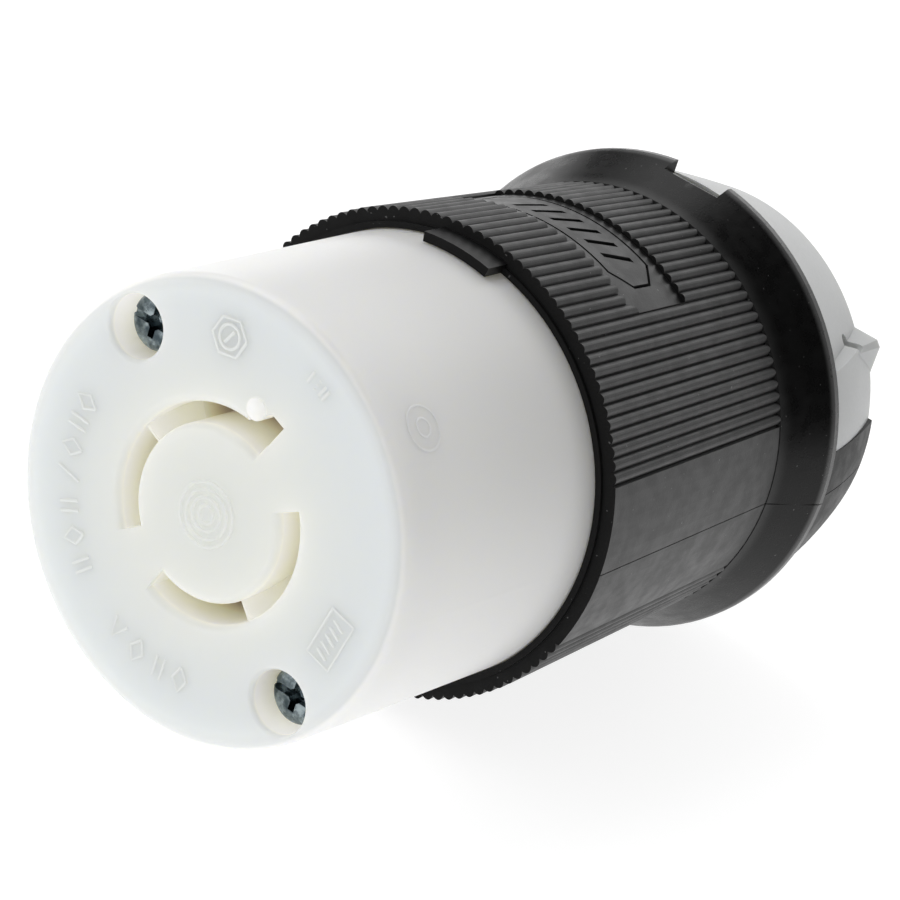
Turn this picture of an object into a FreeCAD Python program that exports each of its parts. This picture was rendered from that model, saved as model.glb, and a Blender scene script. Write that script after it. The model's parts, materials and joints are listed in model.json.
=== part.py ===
import FreeCAD, Part
import math
import os

# A twist-locking cord connector body, 20 A, four contacts.
# Millimetres. The body's axis is Y: the mating face lies in y = 0 and looks towards -Y,
# the cord leaves towards +Y, and +Z is up, through the label panel and the moving clamp jaw.
# Angles about the axis run from +X (0) towards +Z (90).

VEC = FreeCAD.Vector
ORIGIN = VEC(0, 0, 0)
AXIS = VEC(0, -1, 0)
UP = VEC(0, 0, 1)

# ---------------------------------------------------------------- front body
BODY_R = 26.0
BODY_LENGTH = 43.5
FACE_ROUND = 1.2
SKIRT_INNER_R = 22.8
CORE_R = 17.0
CORE_END = 26.0
FACE_THICK = 8.6

SLOT_IN_R = 9.9
SLOT_OUT_R = 12.1
MOUTH_IN_R = 8.9
MOUTH_OUT_R = 13.1
SHALLOW_DEPTH = 0.8
POCKET_IN_R = 8.8
POCKET_OUT_R = 13.3
SLOTS = {
    "ground": (66.7, 133.0),
    "line_x": (157.0, 216.7),
    "line_y": (249.2, 315.0),
    "line_z": (-20.0, 30.2),
}
SHALLOWS = ((132.0, 158.0), (-46.0, -19.0))
RAMPS = ((132.0, 155.8, 144.4, 1), (-44.4, -19.0, -32.2, -1))
RAMP_MID_DEPTH = 2.9
RAMP_RISE = 0.96
HOOK = ((12.0, 84.5), (12.9, 83.9), (13.5, 77.8), (14.5, 75.5), (15.0, 73.6), (15.0, 66.3), (12.0, 66.3))
NUB_ANGLE = 81.5
NUB_RING_R = 14.1
NUB_R = 1.25
NUB_DOME_R = 2.1
NUB_PROUD = 0.5
RING_RADII = (1.0, 1.9, 2.75, 3.6)
RING_HALF = 0.2

# ---------------------------------------------------------------- long screws through the body
SCREW_RING_R = 21.4
SCREW_ANGLES = {"upper": 137.0, "lower": -43.0}
WELL_R = 3.6
WELL_DEPTH = 6.0
WELL_ROUND = 0.45
LONG_HEAD_R = 3.3
LONG_HEAD_H = 2.9
LONG_SHANK_R = 1.75
LONG_SHANK_L = 55.5
LONG_CLEAR_R = 2.1
BOSS_R = 4.0

# ---------------------------------------------------------------- screw heads' recesses
DRIVE_SLOT_HALF = 0.45
DRIVE_SLOT_DEPTH = 0.9
DRIVE_CROSS_HALF = 0.4
DRIVE_CROSS_REACH = 0.55
DRIVE_CROSS_DEPTH = 1.6
DRIVE_PIT_R = 0.85
DRIVE_PIT_DEPTH = 1.8
SHANK_POINT = 0.45

# ---------------------------------------------------------------- contact retainer and terminals
RETAINER_R = 22.5
RETAINER_Y = 26.2
RETAINER_PLATE = 4.0
RETAINER_END = 53.0
TERMINAL_ANGLES = {"line_z": 5.0, "ground": 95.0, "line_x": 185.0, "line_y": 275.0}
BARRIER_ANGLES = (50.0, 137.0, 230.0, 317.0)
BARRIER_THICK = 1.8
TAB_GAP = 0.2
LEAD_GAP = 0.3
PILLAR_HALF = 4.2
TAB_IN_R = 12.6
TAB_THICK = 1.0
TAB_HALF = 3.6
TAB_END = 52.0
TERMINAL_Y = 47.6
LEAF_THICK = 0.7
LEAF_GAP = 0.15
LEAF_START = 9.0
LEAF_END = 24.0
CLAMP_PLATE_R = 19.0
CLAMP_PLATE_THICK = 1.2
CLAMP_PLATE_HALF = 3.7
CLAMP_PLATE_REACH = 3.6
CLAMP_LIP = 0.8
TERM_HEAD_R = 3.3
TERM_HEAD_H = 2.5
TERM_SHANK_R = 1.75
TERM_SHANK_L = 8.3

# ---------------------------------------------------------------- housing
SLIDE_FIT = 0.15
LIP_Y = 35.5
FRONT_Y = 36.0
LIP_OUT_R = 26.9
TIP_R_FRONT = 28.61
TIP_SLOPE = -0.0470
RIB_HEIGHT = 0.52
RIB_PITCH = 3.05
RIBS_PER_SIDE = 45
RIB_STEPS = 8
RIB_FULLNESS = 0.75
PANEL_STEPS = 15
PANEL_DROP = 0.10
PARTING_DEPTH = 0.14
PARTING_HALF = 0.13
RIB_END_Y = 79.0
SOCKET_END = 44.0
CHAMBER_R = 23.9
CHAMBER_END_R = 22.5
CHAMBER_END = 79.8
TAB_KEY_Y = 32.3
TAB_KEY_R = 27.3
TAB_KEY_HALF = 9.8
LABEL_Y = (49.1, 61.0)
LABEL_HALF = 31.8
LABEL_DEPTH = 0.62
LABEL_CORNER = 1.1
EMBLEM_HALF = 11.6
EMBLEM_Y = (50.7, 59.4)
EMBLEM_CORNER = 2.6
EMBLEM_LINE = 0.38
EMBLEM_DEPTH = 0.3
EMBLEM_BARS = (-6.6, -4.0, -1.4, 1.2, 3.8, 6.4)
EMBLEM_BAR_Y = (52.8, 57.3)
EMBLEM_SLANT = 1.5
WAIST = (74.5, 26.8)
FLARE = (78.8, 28.75)
RIM_FRONT = (81.76, 29.88)
RIM_R = 29.95
RIM_Y = 82.8
NOTCH_HALF = 4.0
NOTCH_FRONT = (79.6, 29.0)
NOTCH_REAR = (82.8, 27.9)
INSERT_R = 3.0
INSERT_Y = (53.2, 62.0)
HOUSING_BOSS_END = 68.0
FIT = 0.04

# ---------------------------------------------------------------- cord clamp
SPLIT_Z = 5.9
END_Y = 98.8
BARREL = ((RIM_Y, 29.1), (91.5, 27.8), (END_Y, 25.9))
JAW = ((83.0, 28.3), (91.0, 26.35), (98.7, 24.25))
CHEEKS = ((RIM_Y, 29.1), (91.5, 27.6), (END_Y, 25.35))
EAR_X = 22.7
EAR_Z = (14.9, 15.6)
EAR_Y = 86.0
EAR_CHAMFER = 0.7
SCOOP_ENDS = ((19.9, 92.5, 15.6), (21.9, 94.1, 15.5))
SCOOP_R = 0.8
CORD_R = 10.3
CORD_Z = -0.5
TROUGH_R = 10.8
TROUGH_TOP_Z = 4.5
SADDLE_HALF = 10.2
SADDLE_R = 12.0
SADDLE_Z = -6.8
GRIP_DEPTH = 0.8
GRIP_WIDTH = 1.6
GRIP_YS = (85.6, 89.2, 92.8, 96.4)
WALL = 2.4
HOLLOW_R = 23.4
HOLLOW_FRONT = 1.2
HOLLOW_ARC = 28.0
JAW_HOLLOW_HALF = 13.2
JAW_HOLLOW_FRONT = 2.2
JAW_HOLLOW_LOW = 2.6
SPLIT_GAP = 0.02
CLAMP_X = 18.0
CLAMP_Y = 90.8
CLAMP_HEAD_Z = -9.5
CLAMP_HEAD_R = 3.7
CLAMP_HEAD_H = 3.0
CLAMP_SHANK_R = 2.08
CLAMP_SHANK_L = 23.5
CLAMP_BORE_R = 2.4
COUNTERBORE_R = 4.1
NUT_R = 3.2
NUT_Z = (6.5, 14.0)
NUT_HOLE_TOP = 14.6


# ================================================================ shape helpers
def outline(start, *steps):
    """Closed face in the XY plane; a step is an end point, or [middle, end] for an arc."""
    edges = []
    here = VEC(start[0], start[1], 0)
    for step in steps + (start,):
        if isinstance(step, list):
            middle = VEC(step[0][0], step[0][1], 0)
            there = VEC(step[1][0], step[1][1], 0)
            edges.append(Part.Arc(here, middle, there).toShape())
        else:
            there = VEC(step[0], step[1], 0)
            edges.append(Part.makeLine(here, there))
        here = there
    return Part.Face(Part.Wire(edges))


def turned(start, *steps):
    """Full turn of an (r, y) outline about the Y axis."""
    return outline(start, *steps).revolve(ORIGIN, AXIS, 360)


def at_angle(shape, degrees):
    """Turn a shape from +X towards +Z."""
    moved = shape.copy()
    moved.rotate(ORIGIN, AXIS, degrees)
    return moved


def wedge(start_angle, end_angle, start, *steps):
    """Part turn of an (r, y) outline between two angles."""
    piece = outline(start, *steps).revolve(ORIGIN, AXIS, end_angle - start_angle)
    return at_angle(piece, start_angle)


def sector(r_in, r_out, y_low, y_high, start_angle, end_angle):
    """Block bounded by two radii, two stations and two angles."""
    corners = ((r_in, y_low), (r_out, y_low), (r_out, y_high), (r_in, y_high))
    return wedge(start_angle, end_angle, *corners)


def rod(radius, y_low, y_high, x=0.0, z=0.0):
    return Part.makeCylinder(radius, y_high - y_low, VEC(x, y_low, z), VEC(0, 1, 0))


def post(radius, z_low, z_high, x, y):
    return Part.makeCylinder(radius, z_high - z_low, VEC(x, y, z_low), UP)


def block(x_low, x_high, y_low, y_high, z_low, z_high):
    size = (x_high - x_low, y_high - y_low, z_high - z_low)
    return Part.makeBox(size[0], size[1], size[2], VEC(x_low, y_low, z_low))


def polar(radius, degrees):
    angle = math.radians(degrees)
    return radius * math.cos(angle), radius * math.sin(angle)


def prism(corners, y_low, y_high):
    """Upright block along Y over (radius, angle) corners."""
    points = []
    for radius, angle in corners + corners[:1]:
        x, z = polar(radius, angle)
        points.append(VEC(x, y_low, z))
    return Part.Face(Part.makePolygon(points)).extrude(VEC(0, y_high - y_low, 0))


def across(half, *corners):
    """Block across X, from -half to half, over (y, z) corners."""
    points = [VEC(-half, y, z) for y, z in corners]
    return Part.Face(Part.makePolygon(points + points[:1])).extrude(VEC(2 * half, 0, 0))


def capsule(radius, start, end):
    """Rod with ball ends between two points."""
    along = end - start
    bar = Part.makeCylinder(radius, along.Length, start, along)
    return fused([bar, Part.makeSphere(radius, start), Part.makeSphere(radius, end)])


def fused(shapes):
    return shapes[0].fuse(shapes[1:]).removeSplitter()


def screw(head_r, head_h, shank_r, shank_l):
    """Pan-head screw with a slot and a cross recess; underside of head at y = 0, head towards -Y."""
    soft = 0.3 * head_h
    bend = soft * (1 - math.sqrt(0.5))
    body = turned(
        (0, shank_l),
        (shank_r - SHANK_POINT, shank_l),
        (shank_r, shank_l - SHANK_POINT),
        (shank_r, 0),
        (head_r, 0),
        (head_r, soft - head_h),
        [(head_r - bend, bend - head_h), (head_r - soft, -head_h)],
        (0, -head_h),
    )
    top = -head_h
    reach = DRIVE_CROSS_REACH * head_r
    slot = block(-head_r, head_r, top - 1, top + DRIVE_SLOT_DEPTH, -DRIVE_SLOT_HALF, DRIVE_SLOT_HALF)
    arm = block(-reach, reach, top - 1, top + DRIVE_CROSS_DEPTH, -DRIVE_CROSS_HALF, DRIVE_CROSS_HALF)
    pit = rod(DRIVE_PIT_R, top - 1, top + DRIVE_PIT_DEPTH)
    return body.cut([slot, arm, at_angle(arm, 90), pit])


def placed(shape, base, outward):
    """Move a screw so that its head looks along outward."""
    moved = shape.copy()
    turn = FreeCAD.Rotation(VEC(0, -1, 0), outward)
    moved.Placement = FreeCAD.Placement(base, turn)
    return moved


def save(name, shape):
    if len(shape.Solids) == 1:
        shape = shape.Solids[0]
    shape.exportStep("parts/" + name + ".step")
    print(name, len(shape.Solids), round(shape.Volume, 1), shape.isValid())


# ================================================================ front body
def slot_cut(start_angle, end_angle, depth):
    """Curved slot with rounded mouth edges."""
    inner = SLOT_IN_R - MOUTH_IN_R
    outer = MOUTH_OUT_R - SLOT_OUT_R
    quarter = 1 - math.sqrt(0.5)
    return wedge(
        start_angle,
        end_angle,
        (SLOT_IN_R, depth),
        (SLOT_IN_R, inner),
        [(MOUTH_IN_R + inner * (1 - quarter), inner * quarter), (MOUTH_IN_R, 0)],
        (MOUTH_IN_R, -1),
        (MOUTH_OUT_R, -1),
        (MOUTH_OUT_R, 0),
        [(SLOT_OUT_R + outer * quarter, outer * quarter), (SLOT_OUT_R, outer)],
        (SLOT_OUT_R, depth),
    )


def ramp_cut(start_angle, end_angle, middle_angle, sense):
    """End of a slot whose floor climbs at about 45 degrees; sense is the way round in which it climbs."""
    reach = 8.0
    top = -1.0
    crown = (RAMP_MID_DEPTH - top) / RAMP_RISE
    foot = RAMP_MID_DEPTH + RAMP_RISE * reach
    corners = [VEC(MOUTH_IN_R - 1.5, top, -sense * reach), VEC(MOUTH_IN_R - 1.5, top, sense * crown),
               VEC(MOUTH_IN_R - 1.5, foot, -sense * reach)]
    limit = Part.Face(Part.makePolygon(corners + corners[:1])).extrude(VEC(6.5, 0, 0))
    return slot_cut(start_angle, end_angle, FACE_THICK).common(at_angle(limit, middle_angle))


def make_nub():
    """Round peg beside the hook, standing a little proud with a domed end."""
    x, z = polar(NUB_RING_R, NUB_ANGLE)
    crown = math.sqrt(NUB_DOME_R ** 2 - NUB_R ** 2)
    ball = Part.makeSphere(NUB_DOME_R, VEC(x, NUB_DOME_R - NUB_PROUD, z))
    low = rod(NUB_R, NUB_DOME_R - NUB_PROUD - crown, FACE_THICK, x, z)
    cap = ball.common(rod(NUB_R, -1, NUB_DOME_R - NUB_PROUD, x, z))
    return fused([low, cap])


def face_ring(radius):
    """Low rounded ring standing proud of the mating face."""
    return turned((radius - RING_HALF, 0.1), (radius - RING_HALF, 0),
                  [(radius, -RING_HALF), (radius + RING_HALF, 0)], (radius + RING_HALF, 0.1))


def make_front_body():
    edge = BODY_R - FACE_ROUND
    bend = FACE_ROUND * math.sqrt(0.5)
    body = turned(
        (0, 0),
        (edge, 0),
        [(edge + bend, FACE_ROUND - bend), (BODY_R, FACE_ROUND)],
        (BODY_R, BODY_LENGTH - 0.8),
        (BODY_R - 0.8, BODY_LENGTH),
        (SKIRT_INNER_R, BODY_LENGTH),
        (SKIRT_INNER_R, FACE_THICK),
        (CORE_R, FACE_THICK),
        (CORE_R, CORE_END),
        (0, CORE_END),
    )
    bosses = []
    cuts = []
    soft = WELL_ROUND * (1 - math.sqrt(0.5))
    for angle in SCREW_ANGLES.values():
        x, z = polar(SCREW_RING_R, angle)
        bosses.append(rod(BOSS_R, FACE_THICK - 0.5, CORE_END, x, z))
        cuts.append(rod(WELL_R, -1, WELL_DEPTH, x, z))
        mouth = turned((0, -1), (WELL_R + WELL_ROUND, -1), (WELL_R + WELL_ROUND, 0),
                       [(WELL_R + soft, soft), (WELL_R, WELL_ROUND)], (0, WELL_ROUND))
        mouth.translate(VEC(x, 0, z))
        cuts.append(mouth)
        cuts.append(rod(LONG_CLEAR_R, WELL_DEPTH - 1, BODY_LENGTH + 1, x, z))
    boss_limit = rod(BODY_R - 0.5, 0, CORE_END)
    bosses = [boss.common(boss_limit) for boss in bosses]
    rings = [face_ring(radius) for radius in RING_RADII]
    body = fused([body] + bosses + rings)
    for start_angle, end_angle in SLOTS.values():
        cuts.append(slot_cut(start_angle, end_angle, FACE_THICK + 1))
        cuts.append(sector(POCKET_IN_R, POCKET_OUT_R, FACE_THICK, CORE_END + 1, start_angle, end_angle))
    for start_angle, end_angle in SHALLOWS:
        cuts.append(slot_cut(start_angle, end_angle, SHALLOW_DEPTH))
    for ramp in RAMPS:
        cuts.append(ramp_cut(*ramp))
    cuts.append(prism(HOOK, -1, FACE_THICK + 1))
    for angle in TERMINAL_ANGLES.values():
        lead = block(TAB_IN_R - LEAD_GAP, TAB_IN_R + TAB_THICK + LEAD_GAP, LEAF_END - 0.5, CORE_END + 1,
                     -TAB_HALF - LEAD_GAP, TAB_HALF + LEAD_GAP)
        cuts.append(at_angle(lead, angle))
    return fused([body.cut(cuts), make_nub()])


# ================================================================ contacts and terminals
def make_contact(name):
    """Curved two-leaf spring contact with a flat terminal tab."""
    start_angle, end_angle = SLOTS[name]
    span = (start_angle + 1.2, end_angle - 1.2)
    inner_r = SLOT_IN_R - LEAF_GAP
    outer_r = SLOT_OUT_R + LEAF_GAP
    inner = sector(inner_r - LEAF_THICK, inner_r, LEAF_START, LEAF_END, *span)
    outer = sector(outer_r, outer_r + LEAF_THICK, LEAF_START, LEAF_END, *span)
    bridge = sector(inner_r - LEAF_THICK, outer_r + LEAF_THICK, LEAF_END, LEAF_END + 1, *span)
    tab = block(TAB_IN_R, TAB_IN_R + TAB_THICK, LEAF_END, TAB_END, -TAB_HALF, TAB_HALF)
    hole = Part.makeCylinder(TERM_SHANK_R + FIT, 6, VEC(TAB_IN_R - 3, TERMINAL_Y, 0), VEC(1, 0, 0))
    tab = at_angle(tab.cut(hole), TERMINAL_ANGLES[name])
    return fused([inner, outer, bridge, tab])


def make_retainer():
    """Rear plate that keeps the contacts in, with pillars behind the tabs and barriers between them."""
    plate_end = RETAINER_Y + RETAINER_PLATE
    solids = [rod(RETAINER_R, RETAINER_Y, plate_end)]
    cuts = []
    for angle in TERMINAL_ANGLES.values():
        pillar = block(0, TAB_IN_R - TAB_GAP, plate_end - 1, RETAINER_END, -PILLAR_HALF, PILLAR_HALF)
        window = block(TAB_IN_R - TAB_GAP, TAB_IN_R + TAB_THICK + TAB_GAP, RETAINER_Y - 1, plate_end + 1,
                       -TAB_HALF - TAB_GAP, TAB_HALF + TAB_GAP)
        passage = Part.makeCylinder(LONG_CLEAR_R, 20, VEC(0, TERMINAL_Y, 0), VEC(1, 0, 0))
        solids.append(at_angle(pillar, angle))
        cuts.append(at_angle(window, angle))
        cuts.append(at_angle(passage, angle))
    limit = rod(RETAINER_R, RETAINER_Y, RETAINER_END)
    for angle in BARRIER_ANGLES:
        wall = block(0, RETAINER_R, plate_end - 1, RETAINER_END, -BARRIER_THICK / 2, BARRIER_THICK / 2)
        solids.append(at_angle(wall, angle).common(limit))
    for angle in SCREW_ANGLES.values():
        x, z = polar(SCREW_RING_R, angle)
        solids.append(rod(BOSS_R - 0.3, RETAINER_Y, RETAINER_END, x, z).common(limit))
        cuts.append(rod(LONG_CLEAR_R, RETAINER_Y - 1, RETAINER_END + 1, x, z))
    return fused(solids).cut(cuts).removeSplitter()


def make_terminal_clamp(angle):
    """Pressure plate with two side lips, carried under the terminal screw's head."""
    high = CLAMP_PLATE_R + CLAMP_PLATE_THICK
    low_y = TERMINAL_Y - CLAMP_PLATE_REACH
    high_y = TERMINAL_Y + CLAMP_PLATE_REACH
    plate = block(CLAMP_PLATE_R, high, low_y, high_y, -CLAMP_PLATE_HALF, CLAMP_PLATE_HALF)
    lips = []
    for side in (-1, 1):
        edge = side * CLAMP_PLATE_HALF
        low_z = min(edge, edge - side * CLAMP_LIP)
        lips.append(block(CLAMP_PLATE_R - CLAMP_LIP, high, low_y, high_y, low_z, low_z + CLAMP_LIP))
    hole = Part.makeCylinder(TERM_SHANK_R + 2 * FIT, 6, VEC(CLAMP_PLATE_R - 2, TERMINAL_Y, 0), VEC(1, 0, 0))
    return at_angle(fused([plate] + lips).cut(hole), angle)


def make_terminal_screw(angle):
    seat_r = CLAMP_PLATE_R + CLAMP_PLATE_THICK + 0.05
    x, z = polar(seat_r, angle)
    out_x, out_z = polar(1, angle)
    shape = screw(TERM_HEAD_R, TERM_HEAD_H, TERM_SHANK_R, TERM_SHANK_L)
    return placed(shape, VEC(x, TERMINAL_Y, z), VEC(out_x, 0, out_z))


def make_assembly_screw(angle):
    x, z = polar(SCREW_RING_R, angle)
    shape = screw(LONG_HEAD_R, LONG_HEAD_H, LONG_SHANK_R, LONG_SHANK_L)
    shape.translate(VEC(x, WELL_DEPTH, z))
    return shape


def make_inserts():
    """Two threaded brass bushes moulded into the housing's bosses."""
    bushes = []
    for angle in SCREW_ANGLES.values():
        x, z = polar(SCREW_RING_R, angle)
        bush = rod(INSERT_R, INSERT_Y[0], INSERT_Y[1], x, z)
        bushes.append(bush.cut(rod(LONG_SHANK_R + FIT, INSERT_Y[0] - 1, INSERT_Y[1] + 1, x, z)))
    return Part.makeCompound(bushes)


# ================================================================ housing
def tip_radius(y):
    return TIP_R_FRONT + TIP_SLOPE * (y - FRONT_Y)


def ribbed_section():
    """Points (radius, angle) once round the front of the grip: ribs above and below, panels at the sides."""
    points = []
    half_ribs = RIBS_PER_SIDE * RIB_PITCH / 2
    for middle in (90.0, 270.0):
        for rib in range(RIBS_PER_SIDE):
            for step in range(RIB_STEPS):
                part = step / RIB_STEPS
                crest = math.sin(math.pi * part) ** RIB_FULLNESS
                angle = middle - half_ribs + (rib + part) * RIB_PITCH
                points.append((TIP_R_FRONT - RIB_HEIGHT * (1 - crest), angle))
        points.append((TIP_R_FRONT - RIB_HEIGHT, middle + half_ribs))
        panel = 180.0 - 2 * half_ribs
        for step in range(PANEL_STEPS + 1):
            angle = middle + half_ribs + 0.45 + (panel - 0.9) * step / PANEL_STEPS
            points.append((TIP_R_FRONT - PANEL_DROP, angle))
    return points


def make_grip():
    """Tapered ribbed sleeve as a closed solid with flat facets."""
    shrink = tip_radius(RIB_END_Y) / TIP_R_FRONT
    front = []
    rear = []
    for radius, angle in ribbed_section():
        x, z = polar(radius, angle)
        front.append(VEC(x, FRONT_Y, z))
        rear.append(VEC(x * shrink, RIB_END_Y, z * shrink))
    count = len(front)
    faces = [Part.Face(Part.makePolygon(front + front[:1])), Part.Face(Part.makePolygon(rear + rear[:1]))]
    for here in range(count):
        there = (here + 1) % count
        corners = [front[here], front[there], rear[there], rear[here], front[here]]
        faces.append(Part.Face(Part.makePolygon(corners)))
    return Part.makeSolid(Part.makeShell(faces))


def barrel_solid(profile):
    """Solid of revolution with a bowed outline through three (y, r) points."""
    (y0, r0), (y1, r1), (y2, r2) = profile
    return turned((0, y0), (r0, y0), [(r1, y1), (r2, y2)], (0, y2))


def clamp_trough():
    """Upright slot-shaped way behind the rim, wide enough for the cord and the jaw's saddle."""
    low = rod(TROUGH_R, RIM_Y, END_Y + 1, 0, CORD_Z)
    high = rod(TROUGH_R, RIM_Y, END_Y + 1, 0, TROUGH_TOP_Z)
    middle = block(-TROUGH_R, TROUGH_R, RIM_Y, END_Y + 1, CORD_Z, TROUGH_TOP_Z)
    return fused([low, high, middle])


def parting_cut(angle):
    """Fine mould line along the side panel, the flare, the rim and the fixed half of the clamp."""
    grip_end = WAIST[0] + 1.0
    outlines = (
        ((tip_radius(FRONT_Y) - PANEL_DROP, FRONT_Y - 1), (tip_radius(grip_end) - PANEL_DROP, grip_end)),
        ((WAIST[1], WAIST[0]), (FLARE[1], FLARE[0]), (RIM_FRONT[1], RIM_FRONT[0])),
        ((RIM_R, RIM_FRONT[0]), (RIM_R, RIM_Y)),
        (BARREL[0][::-1], BARREL[1][::-1], BARREL[2][::-1]),
    )
    grooves = []
    for points in outlines:
        inner = [(radius - PARTING_DEPTH, y) for radius, y in points]
        corners = inner + [(40, points[-1][1]), (40, points[0][1])]
        grooves.append(wedge(angle - PARTING_HALF, angle + PARTING_HALF, *corners))
    return grooves


def emblem_cuts():
    """Fine engraved lines in the label panel: a frame with cut corners round a row of slanted bars."""
    floor_r = tip_radius(LABEL_Y[1]) - LABEL_DEPTH - EMBLEM_DEPTH
    limit = sector(floor_r, 40, *LABEL_Y, 90 - LABEL_HALF, 90 + LABEL_HALF)
    low, high = EMBLEM_Y
    frames = []
    for inset in (0, EMBLEM_LINE):
        wide = EMBLEM_HALF - inset
        corner = EMBLEM_CORNER - 0.6 * inset
        corners = [(-wide, low + inset + corner), (-wide + corner, low + inset), (wide - corner, low + inset),
                   (wide, low + inset + corner), (wide, high - inset - corner), (wide - corner, high - inset),
                   (-wide + corner, high - inset), (-wide, high - inset - corner)]
        frames.append(outline(*corners).extrude(VEC(0, 0, 40)))
    cuts = [frames[0].cut(frames[1])]
    low, high = EMBLEM_BAR_Y
    for x in EMBLEM_BARS:
        bar = outline((x - EMBLEM_LINE, low), (x + EMBLEM_LINE, low),
                      (x + EMBLEM_LINE + EMBLEM_SLANT, high), (x - EMBLEM_LINE + EMBLEM_SLANT, high))
        cuts.append(bar.extrude(VEC(0, 0, 40)))
    return [cut.common(limit) for cut in cuts]


def make_housing():
    grip = make_grip()
    flare = turned((0, WAIST[0] - 1), (WAIST[1] - 2, WAIST[0] - 1), (WAIST[1], WAIST[0]),
                   [(FLARE[1] - 0.15, FLARE[0]), (RIM_FRONT[1], RIM_FRONT[0])],
                   (RIM_R, RIM_FRONT[0] + 0.2), (RIM_R, RIM_Y), (0, RIM_Y))
    lip = rod(LIP_OUT_R, LIP_Y, FRONT_Y + 1)
    key = sector(BODY_R + SLIDE_FIT, TAB_KEY_R, TAB_KEY_Y, FRONT_Y + 1, 90 - TAB_KEY_HALF, 90 + TAB_KEY_HALF)
    barrel = barrel_solid(BARREL)
    barrel = barrel.cut(block(-40, 40, RIM_Y, END_Y + 1, SPLIT_Z, 40))
    shell = grip.fuse([flare, lip, key, barrel])

    label_low, label_high = LABEL_Y
    label = wedge(90 - LABEL_HALF, 90 + LABEL_HALF,
                  (tip_radius(label_low) - LABEL_DEPTH, label_low), (40, label_low),
                  (40, label_high), (tip_radius(label_high) - LABEL_DEPTH, label_high))
    corner = block(20, 40, -LABEL_CORNER, LABEL_CORNER, -LABEL_CORNER, LABEL_CORNER)
    corner.rotate(ORIGIN, VEC(1, 0, 0), 45)
    corner.translate(VEC(0, label_low, 0))
    label = label.cut([at_angle(corner, 90 - LABEL_HALF), at_angle(corner, 90 + LABEL_HALF)])
    fall = (NOTCH_REAR[1] - NOTCH_FRONT[1]) / (NOTCH_REAR[0] - NOTCH_FRONT[0])
    start_z = NOTCH_FRONT[1] - fall * (NOTCH_FRONT[0] - WAIST[0])
    end_z = NOTCH_REAR[1] + fall * 0.5
    notch = across(NOTCH_HALF, (WAIST[0], start_z), (RIM_Y + 0.5, end_z), (RIM_Y + 0.5, 40), (WAIST[0], 40))
    inside = turned((0, LIP_Y - 1), (BODY_R + SLIDE_FIT, LIP_Y - 1), (BODY_R + SLIDE_FIT, SOCKET_END),
                    (CHAMBER_R, SOCKET_END), (CHAMBER_END_R, CHAMBER_END), (0, CHAMBER_END))
    shell = shell.cut([label, notch, inside])

    boss_limit = rod(CHAMBER_R + 1, INSERT_Y[0], HOUSING_BOSS_END)
    bosses = []
    cuts = [rod(CORD_R, CHAMBER_END - 1, RIM_Y + 1, 0, CORD_Z), clamp_trough()]
    for angle in SCREW_ANGLES.values():
        x, z = polar(SCREW_RING_R, angle)
        bosses.append(rod(BOSS_R, INSERT_Y[0], HOUSING_BOSS_END, x, z).common(boss_limit))
        cuts.append(rod(INSERT_R, INSERT_Y[0] - 1, INSERT_Y[1], x, z))
        cuts.append(rod(LONG_CLEAR_R, INSERT_Y[0], INSERT_Y[1] + 2, x, z))
    shell = shell.fuse(bosses)

    for y in GRIP_YS:
        cuts.append(rod(TROUGH_R + GRIP_DEPTH, y - GRIP_WIDTH / 2, y + GRIP_WIDTH / 2, 0, CORD_Z))
    for side in (-1, 1):
        x = side * CLAMP_X
        cuts.append(post(CLAMP_BORE_R, CLAMP_HEAD_Z - 1, SPLIT_Z + 1, x, CLAMP_Y))
        cuts.append(post(COUNTERBORE_R, -40, CLAMP_HEAD_Z, x, CLAMP_Y))
        hollow = sector(TROUGH_R + WALL, HOLLOW_R, RIM_Y + HOLLOW_FRONT, END_Y + 1,
                        -90, side * HOLLOW_ARC - 90)
        cuts.append(hollow.cut(block(-1, 1, RIM_Y, END_Y + 2, -40, 0)))
    for angle in (0, 180):
        cuts.extend(parting_cut(angle))
    cuts.extend(emblem_cuts())
    return shell.cut(cuts).removeSplitter()


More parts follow.
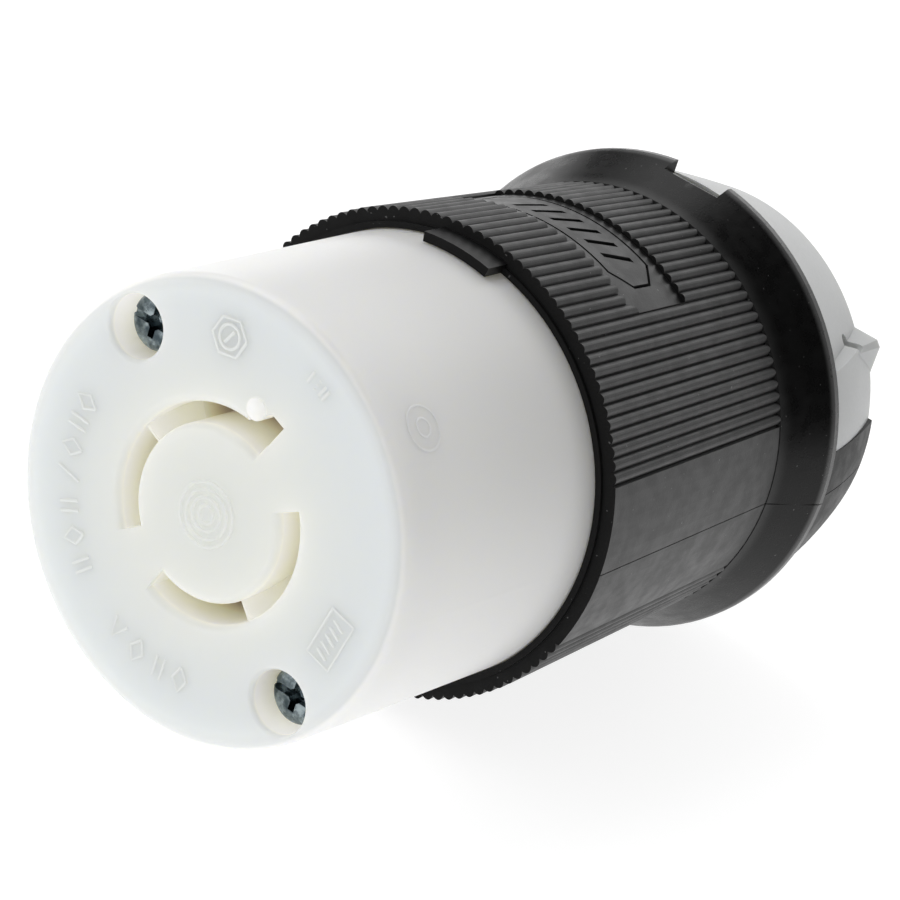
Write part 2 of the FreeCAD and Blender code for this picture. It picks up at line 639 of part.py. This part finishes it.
# ================================================================ cord clamp
def make_jaw():
    """Moving half of the cord clamp: dome, two screw ears and a toothed saddle."""
    dome = barrel_solid(JAW)
    front_y = JAW[0][0]
    rear_y = JAW[2][0]
    low_z = SPLIT_Z + SPLIT_GAP
    above = block(-40, 40, front_y, rear_y, low_z, 40)
    shelf_low, shelf_high = EAR_Z
    shelf = across(40, (front_y, low_z), (rear_y, low_z), (rear_y, shelf_high), (front_y, shelf_low))
    cheeks = barrel_solid(CHEEKS).common(shelf)
    ear = [VEC(-EAR_X, EAR_Y, low_z), VEC(EAR_X, EAR_Y, low_z), VEC(EAR_X, EAR_Y, shelf_high - EAR_CHAMFER),
           VEC(EAR_X - EAR_CHAMFER, EAR_Y, shelf_high), VEC(EAR_CHAMFER - EAR_X, EAR_Y, shelf_high),
           VEC(-EAR_X, EAR_Y, shelf_high - EAR_CHAMFER)]
    ears = Part.Face(Part.makePolygon(ear + ear[:1])).extrude(VEC(0, rear_y - EAR_Y, 0)).common(shelf)
    solids = [dome.common(above), cheeks, ears]
    saddle = block(-SADDLE_HALF, SADDLE_HALF, front_y, rear_y, SADDLE_Z + 3, SPLIT_Z + 1)
    solids.append(saddle)
    jaw = fused(solids)
    cuts = [rod(SADDLE_R, front_y - 1, rear_y + 1, 0, SADDLE_Z)]
    for y in GRIP_YS:
        cuts.append(rod(SADDLE_R + GRIP_DEPTH, y - GRIP_WIDTH / 2, y + GRIP_WIDTH / 2, 0, SADDLE_Z))
    hollow_y = front_y + JAW_HOLLOW_FRONT
    hollow_z = SPLIT_Z + JAW_HOLLOW_LOW
    hollow_limit = block(-JAW_HOLLOW_HALF, JAW_HOLLOW_HALF, hollow_y, rear_y + 1, hollow_z, 40)
    hollow_limit = hollow_limit.cut(block(-1, 1, front_y, rear_y + 2, 0, 40))
    hollow = turned((0, hollow_y), (JAW[0][1] - WALL - 0.5, hollow_y),
                    (JAW[2][1] - WALL, rear_y + 1), (0, rear_y + 1))
    cuts.append(hollow.common(hollow_limit))
    for side in (-1, 1):
        hole_x = side * CLAMP_X
        cuts.append(post(CLAMP_BORE_R, SPLIT_Z - 1, NUT_HOLE_TOP, hole_x, CLAMP_Y))
        cuts.append(post(NUT_R, NUT_Z[0], NUT_Z[1], hole_x, CLAMP_Y))
        ends = [VEC(side * x, y, z) for x, y, z in SCOOP_ENDS]
        cuts.append(capsule(SCOOP_R, *ends))
    return jaw.cut(cuts).removeSplitter()


def make_clamp_nuts():
    nuts = []
    for side in (-1, 1):
        nut = post(NUT_R, NUT_Z[0], NUT_Z[1], side * CLAMP_X, CLAMP_Y)
        nuts.append(nut.cut(post(CLAMP_SHANK_R + FIT, 0, 20, side * CLAMP_X, CLAMP_Y)))
    return Part.makeCompound(nuts)


def make_clamp_screw(side):
    shape = screw(CLAMP_HEAD_R, CLAMP_HEAD_H, CLAMP_SHANK_R, CLAMP_SHANK_L)
    return placed(shape, VEC(side * CLAMP_X, CLAMP_Y, CLAMP_HEAD_Z), VEC(0, 0, -1))


# ================================================================ write the parts
os.makedirs("parts", exist_ok=True)
save("front_body", make_front_body())
save("contact_retainer", make_retainer())
for terminal, terminal_angle in TERMINAL_ANGLES.items():
    save("contact_" + terminal, make_contact(terminal))
    save("terminal_clamp_" + terminal, make_terminal_clamp(terminal_angle))
    save("terminal_screw_" + terminal, make_terminal_screw(terminal_angle))
for place, screw_angle in SCREW_ANGLES.items():
    save("assembly_screw_" + place, make_assembly_screw(screw_angle))
save("housing_inserts", make_inserts())
save("housing", make_housing())
save("clamp_jaw", make_jaw())
save("clamp_nuts", make_clamp_nuts())
save("clamp_screw_left", make_clamp_screw(-1))
save("clamp_screw_right", make_clamp_screw(1))
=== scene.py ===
import json
import math
import bpy
from mathutils import Matrix, Vector


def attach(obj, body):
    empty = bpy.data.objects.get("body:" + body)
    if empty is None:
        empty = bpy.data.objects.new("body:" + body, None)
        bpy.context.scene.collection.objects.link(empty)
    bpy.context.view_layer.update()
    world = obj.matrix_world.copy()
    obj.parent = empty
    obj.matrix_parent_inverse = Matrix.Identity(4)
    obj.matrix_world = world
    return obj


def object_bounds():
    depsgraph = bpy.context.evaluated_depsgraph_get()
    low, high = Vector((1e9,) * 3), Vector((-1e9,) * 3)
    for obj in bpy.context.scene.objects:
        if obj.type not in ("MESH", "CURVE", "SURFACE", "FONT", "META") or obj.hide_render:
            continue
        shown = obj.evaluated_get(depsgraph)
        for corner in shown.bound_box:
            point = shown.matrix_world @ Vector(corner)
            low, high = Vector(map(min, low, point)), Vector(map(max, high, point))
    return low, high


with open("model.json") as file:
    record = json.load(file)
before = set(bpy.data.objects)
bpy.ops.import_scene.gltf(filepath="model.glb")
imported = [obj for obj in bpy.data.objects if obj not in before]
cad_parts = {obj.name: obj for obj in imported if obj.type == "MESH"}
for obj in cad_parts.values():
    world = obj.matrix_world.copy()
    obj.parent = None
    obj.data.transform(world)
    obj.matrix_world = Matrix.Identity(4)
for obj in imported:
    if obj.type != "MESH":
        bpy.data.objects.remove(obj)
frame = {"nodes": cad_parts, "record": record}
cad_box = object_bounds()
nodes = frame["nodes"]

# Millimetres, in the CAD frame: y runs back from the mating face along the body's axis.
MM = 0.001
BODY_R = 26.0
SKIN_R = (25.3, 25.8)           # where the face's tone gives way to the side's
WELLS_R = 16.5                  # the slots lie inside this radius, the screw wells outside it
# The peg is painted brighter as a highlight.
PEG_RING = 14.1                 # the small peg beside the hooked slot
PEG_ANGLE = 81.5
PEG_EDGE = (1.5, 1.1)
LIP_Y = (36.4, 35.8)            # the housing's narrow front lip
# The flange, and all behind it, is painted darker as shade; its outer border carries a painted highlight.
FLANGE_Y = (74.0, 76.5)
FLANGE_EDGE = (29.6, 29.9)
CLAMP_Y = (82.6, 83.0)          # the clamp's barrel, behind the flange


def polar(radius, degrees):
    angle = math.radians(degrees)
    return radius * math.cos(angle), radius * math.sin(angle)


# ---------------------------------------------------------------- camera
def add_camera():
    azimuth = math.radians(29.46)
    elevation = math.radians(23.83)
    roll = math.radians(18.8)
    target = Vector((25.2, 0.8, 21.4)) * MM
    reach = 379.3 * MM
    back = Vector((math.sin(azimuth) * math.cos(elevation),
                   -math.cos(azimuth) * math.cos(elevation),
                   math.sin(elevation)))
    level = Vector((math.cos(azimuth), math.sin(azimuth), 0))
    rise = back.cross(level)
    right = level * math.cos(roll) + rise * math.sin(roll)
    up = back.cross(right)
    data = bpy.data.cameras.new("camera")
    data.lens = 150.0
    data.sensor_width = 36.0
    camera = bpy.data.objects.new("camera", data)
    bpy.context.scene.collection.objects.link(camera)
    turn = Matrix((right, up, back)).transposed().to_4x4()
    camera.matrix_world = Matrix.Translation(target + back * reach) @ turn
    bpy.context.scene.camera = camera


add_camera()


# ---------------------------------------------------------------- shader helpers
def new_material(name):
    material = bpy.data.materials.new(name)
    material.use_nodes = True
    tree = material.node_tree
    return material, tree, tree.nodes["Principled BSDF"]


def grey(level):
    return (level, level, level)


def plug(tree, value, socket):
    """Link an output, or set a constant, on an input socket."""
    if hasattr(value, "is_output"):
        tree.links.new(value, socket)
    else:
        socket.default_value = value


def sums(tree, operation, first, second=0.0):
    node = tree.nodes.new("ShaderNodeMath")
    node.operation = operation
    plug(tree, first, node.inputs[0])
    plug(tree, second, node.inputs[1])
    return node.outputs[0]


def product(tree, first, *others):
    for other in others:
        first = sums(tree, "MULTIPLY", first, other)
    return first


def length_of(tree, first, second):
    """Length of a flat vector."""
    squares = [product(tree, value, value) for value in (first, second)]
    return sums(tree, "SQRT", sums(tree, "ADD", *squares))


def spread(tree, value, low, high, start=0.0, end=1.0):
    """Smooth map of value from low..high to start..end."""
    node = tree.nodes.new("ShaderNodeMapRange")
    node.interpolation_type = "SMOOTHSTEP"
    plug(tree, value, node.inputs["Value"])
    node.inputs["From Min"].default_value = low
    node.inputs["From Max"].default_value = high
    node.inputs["To Min"].default_value = start
    node.inputs["To Max"].default_value = end
    return node.outputs["Result"]


def zone(tree, place_value, low, high, start=0.0, end=1.0):
    """Spread of a place in the frame between two millimetre marks."""
    return spread(tree, place_value, low * MM, high * MM, start, end)


def mix(tree, factor, first, second):
    node = tree.nodes.new("ShaderNodeMix")
    node.data_type = "RGBA"
    plug(tree, factor, node.inputs[0])
    plug(tree, (*first, 1.0) if isinstance(first, tuple) else first, node.inputs[6])
    plug(tree, (*second, 1.0) if isinstance(second, tuple) else second, node.inputs[7])
    return node.outputs[2]


def place(tree):
    """Object-space position, its x, y and z, and the distance from the body's axis."""
    spot = tree.nodes.new("ShaderNodeTexCoord").outputs["Object"]
    parts = tree.nodes.new("ShaderNodeSeparateXYZ")
    tree.links.new(spot, parts.inputs[0])
    x, y, z = parts.outputs
    return spot, x, y, z, length_of(tree, x, z)


def noise(tree, spot, scale, detail=3.0, roughness=0.55):
    texture = tree.nodes.new("ShaderNodeTexNoise")
    texture.inputs["Scale"].default_value = scale
    texture.inputs["Detail"].default_value = detail
    texture.inputs["Roughness"].default_value = roughness
    tree.links.new(spot, texture.inputs["Vector"])
    return texture.outputs["Fac"]


def bump(tree, shader, height, distance):
    node = tree.nodes.new("ShaderNodeBump")
    node.inputs["Strength"].default_value = 0.5
    node.inputs["Distance"].default_value = distance
    tree.links.new(height, node.inputs["Height"])
    tree.links.new(node.outputs["Normal"], shader.inputs["Normal"])


def facing_front(tree, low, high):
    """1 where the surface looks towards the mating side, 0 elsewhere."""
    coordinates = tree.nodes.new("ShaderNodeTexCoord")
    parts = tree.nodes.new("ShaderNodeSeparateXYZ")
    tree.links.new(coordinates.outputs["Normal"], parts.inputs[0])
    return spread(tree, sums(tree, "MULTIPLY", parts.outputs[1], -1.0), low, high)


# ---------------------------------------------------------------- white nylon
def opening_tone(tree, y, across):
    """The face: warm in the middle and cool towards the outer band as a painted tint for light scattered
    in the nylon, darker in the outermost band as painted shade; the openings painted near-white cream as
    glow of light carried through the nylon, turning brownish with depth in the slots as painted shade.
    """
    warm, cool, rim_shade = (0.745, 0.765, 0.745), (0.702, 0.737, 0.762), (0.645, 0.672, 0.692)
    ivory_glow, deeper_ivory_glow, slot_shade_brown = (0.990, 0.985, 0.920), (0.990, 0.970, 0.820), (0.480, 0.350, 0.160)
    # Painted tint: warm to cool outwards, standing in for light scattered in the nylon.
    face = mix(tree, zone(tree, across, 9.0, 25.0), warm, cool)
    # Painted shade: the outermost band of the face is darker.
    face = mix(tree, zone(tree, across, 23.8, 25.4), face, rim_shade)
    # Painted glow: the opening walls are near-white, far brighter than the face, for light carried through
    # the nylon.
    throat_glow = mix(tree, zone(tree, y, 0.2, 4.5), ivory_glow, deeper_ivory_glow)
    in_slots = zone(tree, across, WELLS_R, WELLS_R - 1.0)
    # Painted shade: the slot walls turn brownish with depth.
    glow_and_slot_shade = mix(tree, product(tree, zone(tree, y, 4.5, 11.0), in_slots), throat_glow, slot_shade_brown)
    return mix(tree, zone(tree, y, 0.1, 1.0), face, glow_and_slot_shade)


def peg_highlight_mask(tree, x, z):
    """1 on the small peg beside the hooked slot, where a lighter tone is painted as a highlight."""
    peg_x, peg_z = polar(PEG_RING * MM, PEG_ANGLE)
    off_x = sums(tree, "SUBTRACT", x, peg_x)
    off_z = sums(tree, "SUBTRACT", z, peg_z)
    return zone(tree, length_of(tree, off_x, off_z), *PEG_EDGE)


def shaded_side_tone(tree, spot, y):
    """The skirt: painted lighter white in front and painted shade greying it towards the housing; the
    small noise in front is random tone.
    """
    front = mix(tree, noise(tree, spot, 90.0, 4.0), (0.845, 0.855, 0.865), (0.860, 0.865, 0.875))
    # Painted shade: the skirt greys towards the housing.
    return mix(tree, zone(tree, y, 2.0, 30.0), front, (0.732, 0.737, 0.748))


def glow_scale(tree, y, across, outside):
    """Scattering reaches further in the openings, furthest in the screw wells, least in the skirt."""
    inside = zone(tree, y, 0.2, 1.2)
    wells = product(tree, zone(tree, across, WELLS_R, WELLS_R + 0.5), inside, 2.4)
    glow = sums(tree, "ADD", zone(tree, y, 0.2, 1.2, 1.0, 1.6), wells)
    drop = product(tree, outside, sums(tree, "SUBTRACT", glow, 0.4))
    return sums(tree, "SUBTRACT", glow, drop)


def face_nylon():
    """Translucent white nylon of the front body."""
    material, tree, shader = new_material("white_nylon")
    spot, x, y, z, across = place(tree)
    # Painted highlight: the peg is given a near-white tone where its rounded top catches light.
    inner = mix(tree, peg_highlight_mask(tree, x, z), opening_tone(tree, y, across), (0.90, 0.91, 0.90))
    outside = zone(tree, across, *SKIN_R)
    tone = mix(tree, outside, inner, shaded_side_tone(tree, spot, y))
    tree.links.new(tone, shader.inputs["Base Color"])
    fine = noise(tree, spot, 2600.0, 2.0)
    tree.links.new(spread(tree, fine, 0.3, 0.7, 0.30, 0.38), shader.inputs["Roughness"])
    bump(tree, shader, noise(tree, spot, 260.0, 2.0), 0.00001)
    tree.links.new(glow_scale(tree, y, across, outside), shader.inputs["Subsurface Scale"])
    shader.inputs["Subsurface Weight"].default_value = 1.0
    shader.inputs["Subsurface Radius"].default_value = (0.0062, 0.0060, 0.0050)
    # Painted glow: a faint warm emission stands in for light carried through the translucent nylon.
    shader.inputs["Emission Color"].default_value = (1.0, 0.95, 0.78, 1.0)
    shader.inputs["Emission Strength"].default_value = 0.075
    shader.inputs["Specular IOR Level"].default_value = 0.4
    shader.inputs["IOR"].default_value = 1.53
    return material


# ---------------------------------------------------------------- black nylon
def black_tone(tree, spot, y, dull, flange, edge_highlight):
    cloud = noise(tree, spot, 160.0, 5.0)
    tone = mix(tree, cloud, grey(0.0070), grey(0.0110))
    # Painted shade: the flange and the parts behind it are darker.
    tone = mix(tree, flange, tone, grey(0.0030))
    # Painted highlight: a lighter tone along the flange's outer border.
    tone = mix(tree, edge_highlight, tone, grey(0.07))
    tone = mix(tree, zone(tree, y, *LIP_Y), tone, grey(0.0040))
    tone = mix(tree, dull, tone, grey(0.009))
    speck = spread(tree, noise(tree, spot, 1900.0, 1.0), 0.76, 0.80)
    return mix(tree, speck, tone, grey(0.10))


def black_nylon():
    """Black nylon: satin ribs, a smoother flange painted darker as shade with a painted highlight along
    its outer border, and a dull grain on forward faces.
    """
    material, tree, shader = new_material("black_nylon")
    spot, x, y, z, across = place(tree)
    dull = facing_front(tree, 0.70, 0.95)
    flange = zone(tree, y, *FLANGE_Y)
    edge_highlight = product(tree, flange, zone(tree, across, *FLANGE_EDGE))
    clamp = zone(tree, y, *CLAMP_Y)
    tree.links.new(black_tone(tree, spot, y, dull, flange, edge_highlight), shader.inputs["Base Color"])
    satin = spread(tree, noise(tree, spot, 420.0, 4.0), 0.3, 0.7, 0.36, 0.46)
    for mask, change in ((flange, -0.12), (clamp, 0.14), (dull, 0.28)):
        satin = sums(tree, "ADD", satin, product(tree, mask, change))
    tree.links.new(satin, shader.inputs["Roughness"])
    gloss = spread(tree, flange, 0.0, 1.0, 0.43, 0.20)
    gloss = sums(tree, "ADD", gloss, product(tree, edge_highlight, 0.3))
    for mask, share in ((clamp, 0.6), (dull, 0.28)):
        gloss = product(tree, gloss, spread(tree, mask, 0.0, 1.0, 1.0, share))
    tree.links.new(gloss, shader.inputs["Specular IOR Level"])
    bump(tree, shader, noise(tree, spot, 4200.0, 2.0), 0.00003)
    shader.inputs["IOR"].default_value = 1.53
    return material


# ---------------------------------------------------------------- other materials
def fine_grain(tree, shader, spot, rough):
    fine = noise(tree, spot, 2600.0, 2.0)
    tree.links.new(spread(tree, fine, 0.3, 0.7, rough - 0.05, rough + 0.05), shader.inputs["Roughness"])
    bump(tree, shader, fine, 0.00002)
    shader.inputs["IOR"].default_value = 1.53


def mark_nylon():
    """Raised marks, in the tone of the face or of the side that carries them."""
    material, tree, shader = new_material("mark_nylon")
    spot, x, y, z, across = place(tree)
    on_side = zone(tree, across, 24.5, 25.2)
    face = mix(tree, noise(tree, spot, 120.0, 4.0), (0.735, 0.755, 0.745), (0.765, 0.785, 0.775))
    tree.links.new(mix(tree, on_side, face, (0.870, 0.875, 0.880)), shader.inputs["Base Color"])
    fine_grain(tree, shader, spot, 0.34)
    # Painted glow: a faint emission lifts the marks, which lack the face's scattering, up to the face's
    # brightness.
    shader.inputs["Emission Color"].default_value = (1.0, 1.0, 0.95, 1.0)
    shader.inputs["Emission Strength"].default_value = 0.05
    return material


def plain_nylon(name, low, high, rough, subsurface):
    material, tree, shader = new_material(name)
    spot = place(tree)[0]
    tree.links.new(mix(tree, noise(tree, spot, 120.0, 4.0), low, high), shader.inputs["Base Color"])
    fine_grain(tree, shader, spot, rough)
    shader.inputs["Subsurface Weight"].default_value = subsurface
    shader.inputs["Subsurface Radius"].default_value = (0.0018, 0.0018, 0.0015)
    shader.inputs["Subsurface Scale"].default_value = 1.0
    return material


def metal(name, low, high, rough, grain_scale):
    material, tree, shader = new_material(name)
    cloud = noise(tree, place(tree)[0], grain_scale, 5.0)
    tree.links.new(mix(tree, spread(tree, cloud, 0.35, 0.7), low, high), shader.inputs["Base Color"])
    shader.inputs["Metallic"].default_value = 1.0
    tree.links.new(spread(tree, cloud, 0.3, 0.7, rough - 0.08, rough + 0.10), shader.inputs["Roughness"])
    bump(tree, shader, cloud, 0.00003)
    return material


MATERIALS = {
    "white_nylon": face_nylon(),
    "black_nylon": black_nylon(),
    "jaw_nylon": plain_nylon("jaw_nylon", (0.51, 0.52, 0.52), (0.59, 0.60, 0.60), 0.40, 0.35),
    "mark_nylon": mark_nylon(),
    "retainer_plastic": plain_nylon("retainer_plastic", (0.62, 0.60, 0.50), (0.68, 0.66, 0.56), 0.5, 0.2),
    "contact_brass": metal("contact_brass", (0.70, 0.50, 0.22), (0.80, 0.60, 0.30), 0.28, 900.0),
    "insert_brass": metal("insert_brass", (0.68, 0.50, 0.24), (0.76, 0.58, 0.30), 0.25, 1500.0),
    "clamp_steel": metal("clamp_steel", (0.50, 0.53, 0.56), (0.62, 0.64, 0.66), 0.32, 1200.0),
    "screw_steel": metal("screw_steel", (0.06, 0.08, 0.09), (0.36, 0.42, 0.44), 0.24, 700.0),
    "ground_screw_steel": metal("ground_screw_steel", (0.04, 0.20, 0.07), (0.07, 0.28, 0.11), 0.3, 1200.0),
}


def dress_cad_nodes():
    slots = {part["node"]: part["material_slot"] for part in frame["record"]["subparts"]}
    for name, part in nodes.items():
        part.data.materials.clear()
        part.data.materials.append(MATERIALS[slots[name]])


dress_cad_nodes()


# ---------------------------------------------------------------- moulded marks
# Millimetres. Each stroke is a round bead that is sunk almost to its top in the surface.
FACE_BEAD_R = 0.34
FACE_MARK_Y = 0.28
SIDE_BEAD_R = 0.28
SIDE_SINK = 0.22
SIDE_ANGLE = 46.5
SIDE_Y = 7.0
SIDE_RINGS = ((2.5, 40), (1.05, 24))
RATING_RING = 19.3
APPROVAL_RING = 19.9
MAKER_RING = 21.8
MAKER_SIZE = 0.55

BAR = [[(0, -1.4), (0, 1.4)]]
LEAN = [[(-0.7, -1.5), (0.7, 1.5)]]
TWIN = [[(-0.55, -1.3), (-0.55, 1.3)], [(0.55, -1.3), (0.55, 1.3)]]
LOZENGE = [[(0, -1.4), (0.95, 0), (0, 1.4), (-0.95, 0), (0, -1.4)]]
PEAK = [[(-0.95, -1.2), (0, 1.2), (0.95, -1.2)]]
BEADS = [[(0, -1.2), (0, -0.9)], [(0, -0.15), (0, 0.15)], [(0, 0.9), (0, 1.2)]]
RATINGS = ((169, LOZENGE), (177, TWIN), (186, LOZENGE), (195, LEAN), (206, TWIN), (216, LOZENGE),
           (226, TWIN), (250, PEAK), (260, LOZENGE), (270, TWIN), (279, LOZENGE))
MAKER = ((64.5, TWIN), (67.5, BEADS), (70.5, BAR))


def strokes_to_mesh(name, strokes, bead_radius):
    """Round beads along 3-D points (mm), joined into one mesh."""
    curve = bpy.data.curves.new(name + "_path", "CURVE")
    curve.dimensions = "3D"
    curve.bevel_depth = bead_radius * MM
    curve.bevel_resolution = 3
    curve.use_fill_caps = True
    for points in strokes:
        line = curve.splines.new("POLY")
        line.points.add(len(points) - 1)
        for spot, point in zip(line.points, points):
            spot.co = (point[0] * MM, point[1] * MM, point[2] * MM, 1.0)
    carrier = bpy.data.objects.new(name + "_path", curve)
    bpy.context.scene.collection.objects.link(carrier)
    bpy.context.view_layer.update()
    mesh = bpy.data.meshes.new_from_object(carrier.evaluated_get(bpy.context.evaluated_depsgraph_get()))
    bpy.data.objects.remove(carrier)
    bpy.data.curves.remove(curve)
    mesh.name = name
    for polygon in mesh.polygons:
        polygon.use_smooth = True
    return mesh


def add_mark(name, strokes, bead_radius, body):
    mesh = strokes_to_mesh(name, strokes, bead_radius)
    mesh.materials.clear()
    mesh.materials.append(MATERIALS["mark_nylon"])
    mark = bpy.data.objects.new(name, mesh)
    bpy.context.scene.collection.objects.link(mark)
    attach(mark, body)


def on_face(radius, degrees, glyph):
    """Strokes of a glyph (u along the ring, v outwards) laid on the mating face."""
    centre = Vector(polar(radius, degrees))
    out = Vector(polar(1, degrees))
    along = Vector((out.y, -out.x))
    laid = []
    for stroke in glyph:
        flat = [centre + along * u + out * v for u, v in stroke]
        laid.append([(point.x, FACE_MARK_Y, point.y) for point in flat])
    return laid


def ring(radius, count):
    return [polar(radius, 360.0 * k / count) for k in range(count + 1)]


def scaled(glyph, size):
    return [[(u * size, v * size) for u, v in stroke] for stroke in glyph]


def face_marks():
    """Raised marks round the face, as plain glyph-like strokes that spell nothing."""
    strokes = []
    for degrees, glyph in RATINGS:
        strokes += on_face(RATING_RING, degrees, glyph)
    for degrees, glyph in MAKER:
        strokes += on_face(MAKER_RING, degrees, scaled(glyph, MAKER_SIZE))
    hexagon = [ring(2.3, 6), ring(1.35, 20), [(-0.6, -0.7), (0.6, 0.7)]]
    strokes += on_face(APPROVAL_RING, 101, hexagon)
    plate = [[(-3.1, -1.6), (3.1, -1.6), (3.1, 1.6), (-3.1, 1.6), (-3.1, -1.6)]]
    plate += [[(u, -0.8), (u + 0.5, 0.8)] for u in (-2.1, -1.1, -0.1, 0.9, 1.9)]
    strokes += on_face(APPROVAL_RING, -13, plate)
    return strokes


def side_mark():
    """Raised ring and dot on the body's side."""
    strokes = []
    for radius, count in SIDE_RINGS:
        points = []
        for along, around in ring(radius, count):
            x, z = polar(BODY_R - SIDE_SINK, SIDE_ANGLE + math.degrees(around / BODY_R))
            points.append((x, SIDE_Y + along, z))
        strokes.append(points)
    return strokes


add_mark("face_marks", face_marks(), FACE_BEAD_R, "front")
add_mark("side_mark", side_mark(), SIDE_BEAD_R, "front")


# ---------------------------------------------------------------- stage and light
def add_floor():
    low = cad_box[0].z
    half = 4.0
    mesh = bpy.data.meshes.new("floor")
    corners = [(-half, -half, low), (half, -half, low), (half, half, low), (-half, half, low)]
    mesh.from_pydata(corners, [], [(0, 1, 2, 3)])
    floor = bpy.data.objects.new("floor", mesh)
    bpy.context.scene.collection.objects.link(floor)
    material, tree, shader = new_material("floor_pale")
    spot = tree.nodes.new("ShaderNodeTexCoord").outputs["Object"]
    tree.links.new(mix(tree, noise(tree, spot, 3.0), grey(0.33), grey(0.35)), shader.inputs["Base Color"])
    shader.inputs["Roughness"].default_value = 0.9
    shader.inputs["Emission Color"].default_value = (1.0, 1.0, 1.0, 1.0)
    shader.inputs["Emission Strength"].default_value = 0.84
    mesh.materials.append(material)


def add_world():
    """White studio: a dark flag high on the right, a dim one on the left and a grey one behind."""
    world = bpy.data.worlds.new("studio")
    bpy.context.scene.world = world
    world.use_nodes = True
    tree = world.node_tree
    sky = tree.nodes["Background"]
    direction = tree.nodes.new("ShaderNodeTexCoord").outputs["Generated"]
    parts = tree.nodes.new("ShaderNodeSeparateXYZ")
    tree.links.new(direction, parts.inputs[0])
    rightwards, backwards, height = parts.outputs

    def nearness(x, y, z, low, high):
        """0 to 1 as the direction turns towards (x, y, z)."""
        node = tree.nodes.new("ShaderNodeVectorMath")
        node.operation = "DOT_PRODUCT"
        node.inputs[1].default_value = Vector((x, y, z)).normalized()
        tree.links.new(direction, node.inputs[0])
        return spread(tree, node.outputs["Value"], low, high)

    wall = spread(tree, height, 0.0, 0.6, 0.72, 1.0)
    wall = sums(tree, "MAXIMUM", wall, spread(tree, rightwards, 0.45, 0.10))
    above_horizon = spread(tree, height, 0.14, 0.26)
    below_top = spread(tree, height, 0.78, 0.40)
    left_flag = product(tree, nearness(-0.95, -0.30, 0.0, -0.1, 0.5), above_horizon, below_top, 0.92)
    rear_flag = nearness(0.46, 0.79, 0.41, 0.89, 0.97)
    not_behind = spread(tree, backwards, 0.62, 0.38)
    right_flag = product(tree, nearness(0.67, 0.10, 0.73, 0.48, 0.62), not_behind)
    light = mix(tree, wall, grey(0.0), grey(1.0))
    for flag, level in ((left_flag, 0.0), (rear_flag, 0.45), (right_flag, 0.02)):
        light = mix(tree, flag, light, grey(level))
    tree.links.new(light, sky.inputs["Color"])
    sky.inputs["Strength"].default_value = 1.50


def add_softbox(name, spot, aim, size, power):
    data = bpy.data.lights.new(name, "AREA")
    data.shape = "DISK"
    data.size = size
    data.energy = power
    light = bpy.data.objects.new(name, data)
    bpy.context.scene.collection.objects.link(light)
    light.location = spot
    towards = Vector(aim) - Vector(spot)
    light.rotation_euler = towards.to_track_quat("-Z", "Y").to_euler()


add_floor()
add_world()
add_softbox("top_softbox", (-0.45, 0.0, 0.8), (0.0, 0.05, 0.0), 0.6, 1.0)
bpy.context.scene.view_settings.view_transform = "Standard"
